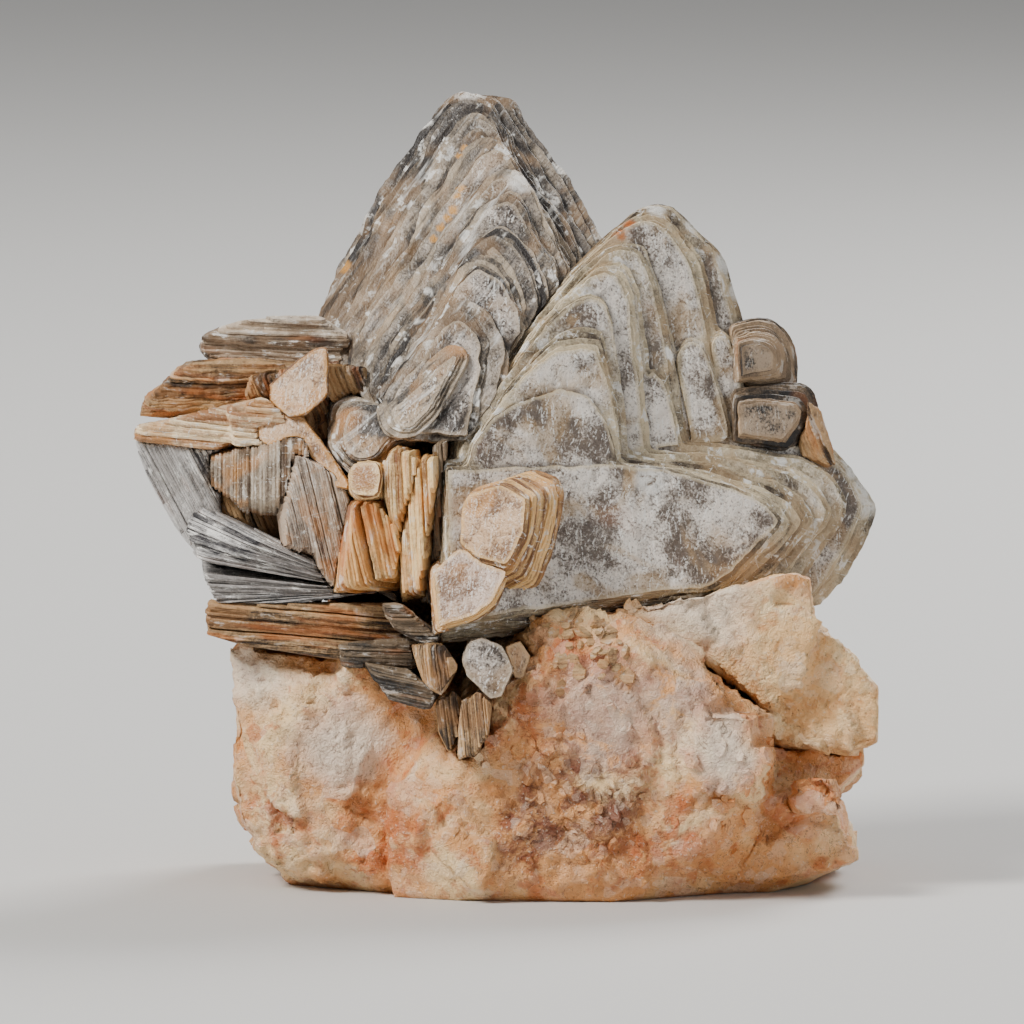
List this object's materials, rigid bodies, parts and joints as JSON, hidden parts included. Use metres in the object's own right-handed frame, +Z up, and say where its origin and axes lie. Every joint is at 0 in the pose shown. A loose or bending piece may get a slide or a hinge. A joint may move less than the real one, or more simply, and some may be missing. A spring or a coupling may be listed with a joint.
{
  "type": "mica crystal specimen",
  "caption": "Mineral specimen: two stepped grey mica books on a cream and orange feldspar base, with small golden mica books between them. Stands on its flat base.",
  "frame": {"origin": "centre of the whole specimen in plan, on the surface it stands on", "axes": "+Z up, -Y towards the viewer of the show face, +X to the viewer's right"},
  "size_m": [0.118, 0.0808, 0.1246],
  "materials": {
    "mica_silver": "pearly silver-grey sheets with fine cracks",
    "mica_grey": "taupe grey striated sheet edges, soft pearly gloss",
    "mica_gold": "golden tan stained sheets, soft gloss",
    "mica_dark": "dark grey-brown striated sheets",
    "mica_rust": "iron-stained ragged sheets",
    "feldspar": "cream to orange cleaved feldspar, dull with glassy chips",
    "feldspar_rust": "orange-stained feldspar, dull"
  },
  "bodies": {
    "root": {"front_mica_book": "mica_silver", "tall_mica_book": "mica_grey", "finger_mica_book": "mica_grey", "hex_mica_book": "mica_gold", "pale_mica_plate": "mica_silver", "upright_mica_book_right": "mica_gold", "upright_mica_book_left": "mica_gold", "upright_mica_book_dark": "mica_dark", "tan_mica_block": "mica_gold", "rusty_mica_book": "mica_rust", "slanting_mica_slab": "mica_gold", "comb_mica_book": "mica_silver", "leaf_mica_plate": "mica_gold", "bridge_mica_plate": "mica_gold", "cream_mica_book": "mica_gold", "shelf_mica_book": "mica_grey", "ragged_mica_book": "mica_rust", "side_mica_book": "mica_grey", "fan_mica_book": "mica_grey", "split_mica_book": "mica_rust", "inner_mica_book": "mica_grey", "round_side_mica_book": "mica_grey", "square_side_mica_book": "mica_grey", "rusty_mica_sliver": "mica_rust", "small_hex_mica_book": "mica_silver", "small_mica_prism": "mica_gold", "small_mica_blade": "mica_silver", "small_mica_book_left": "mica_gold", "small_mica_book_right": "mica_gold", "small_mica_book_slanting": "mica_dark", "dark_mica_splinter_upper": "mica_dark", "dark_mica_splinter_lower": "mica_dark", "feldspar_block": "feldspar_rust", "feldspar_ledge": "feldspar", "feldspar_matrix": "feldspar"}
  },
  "joints": []
}
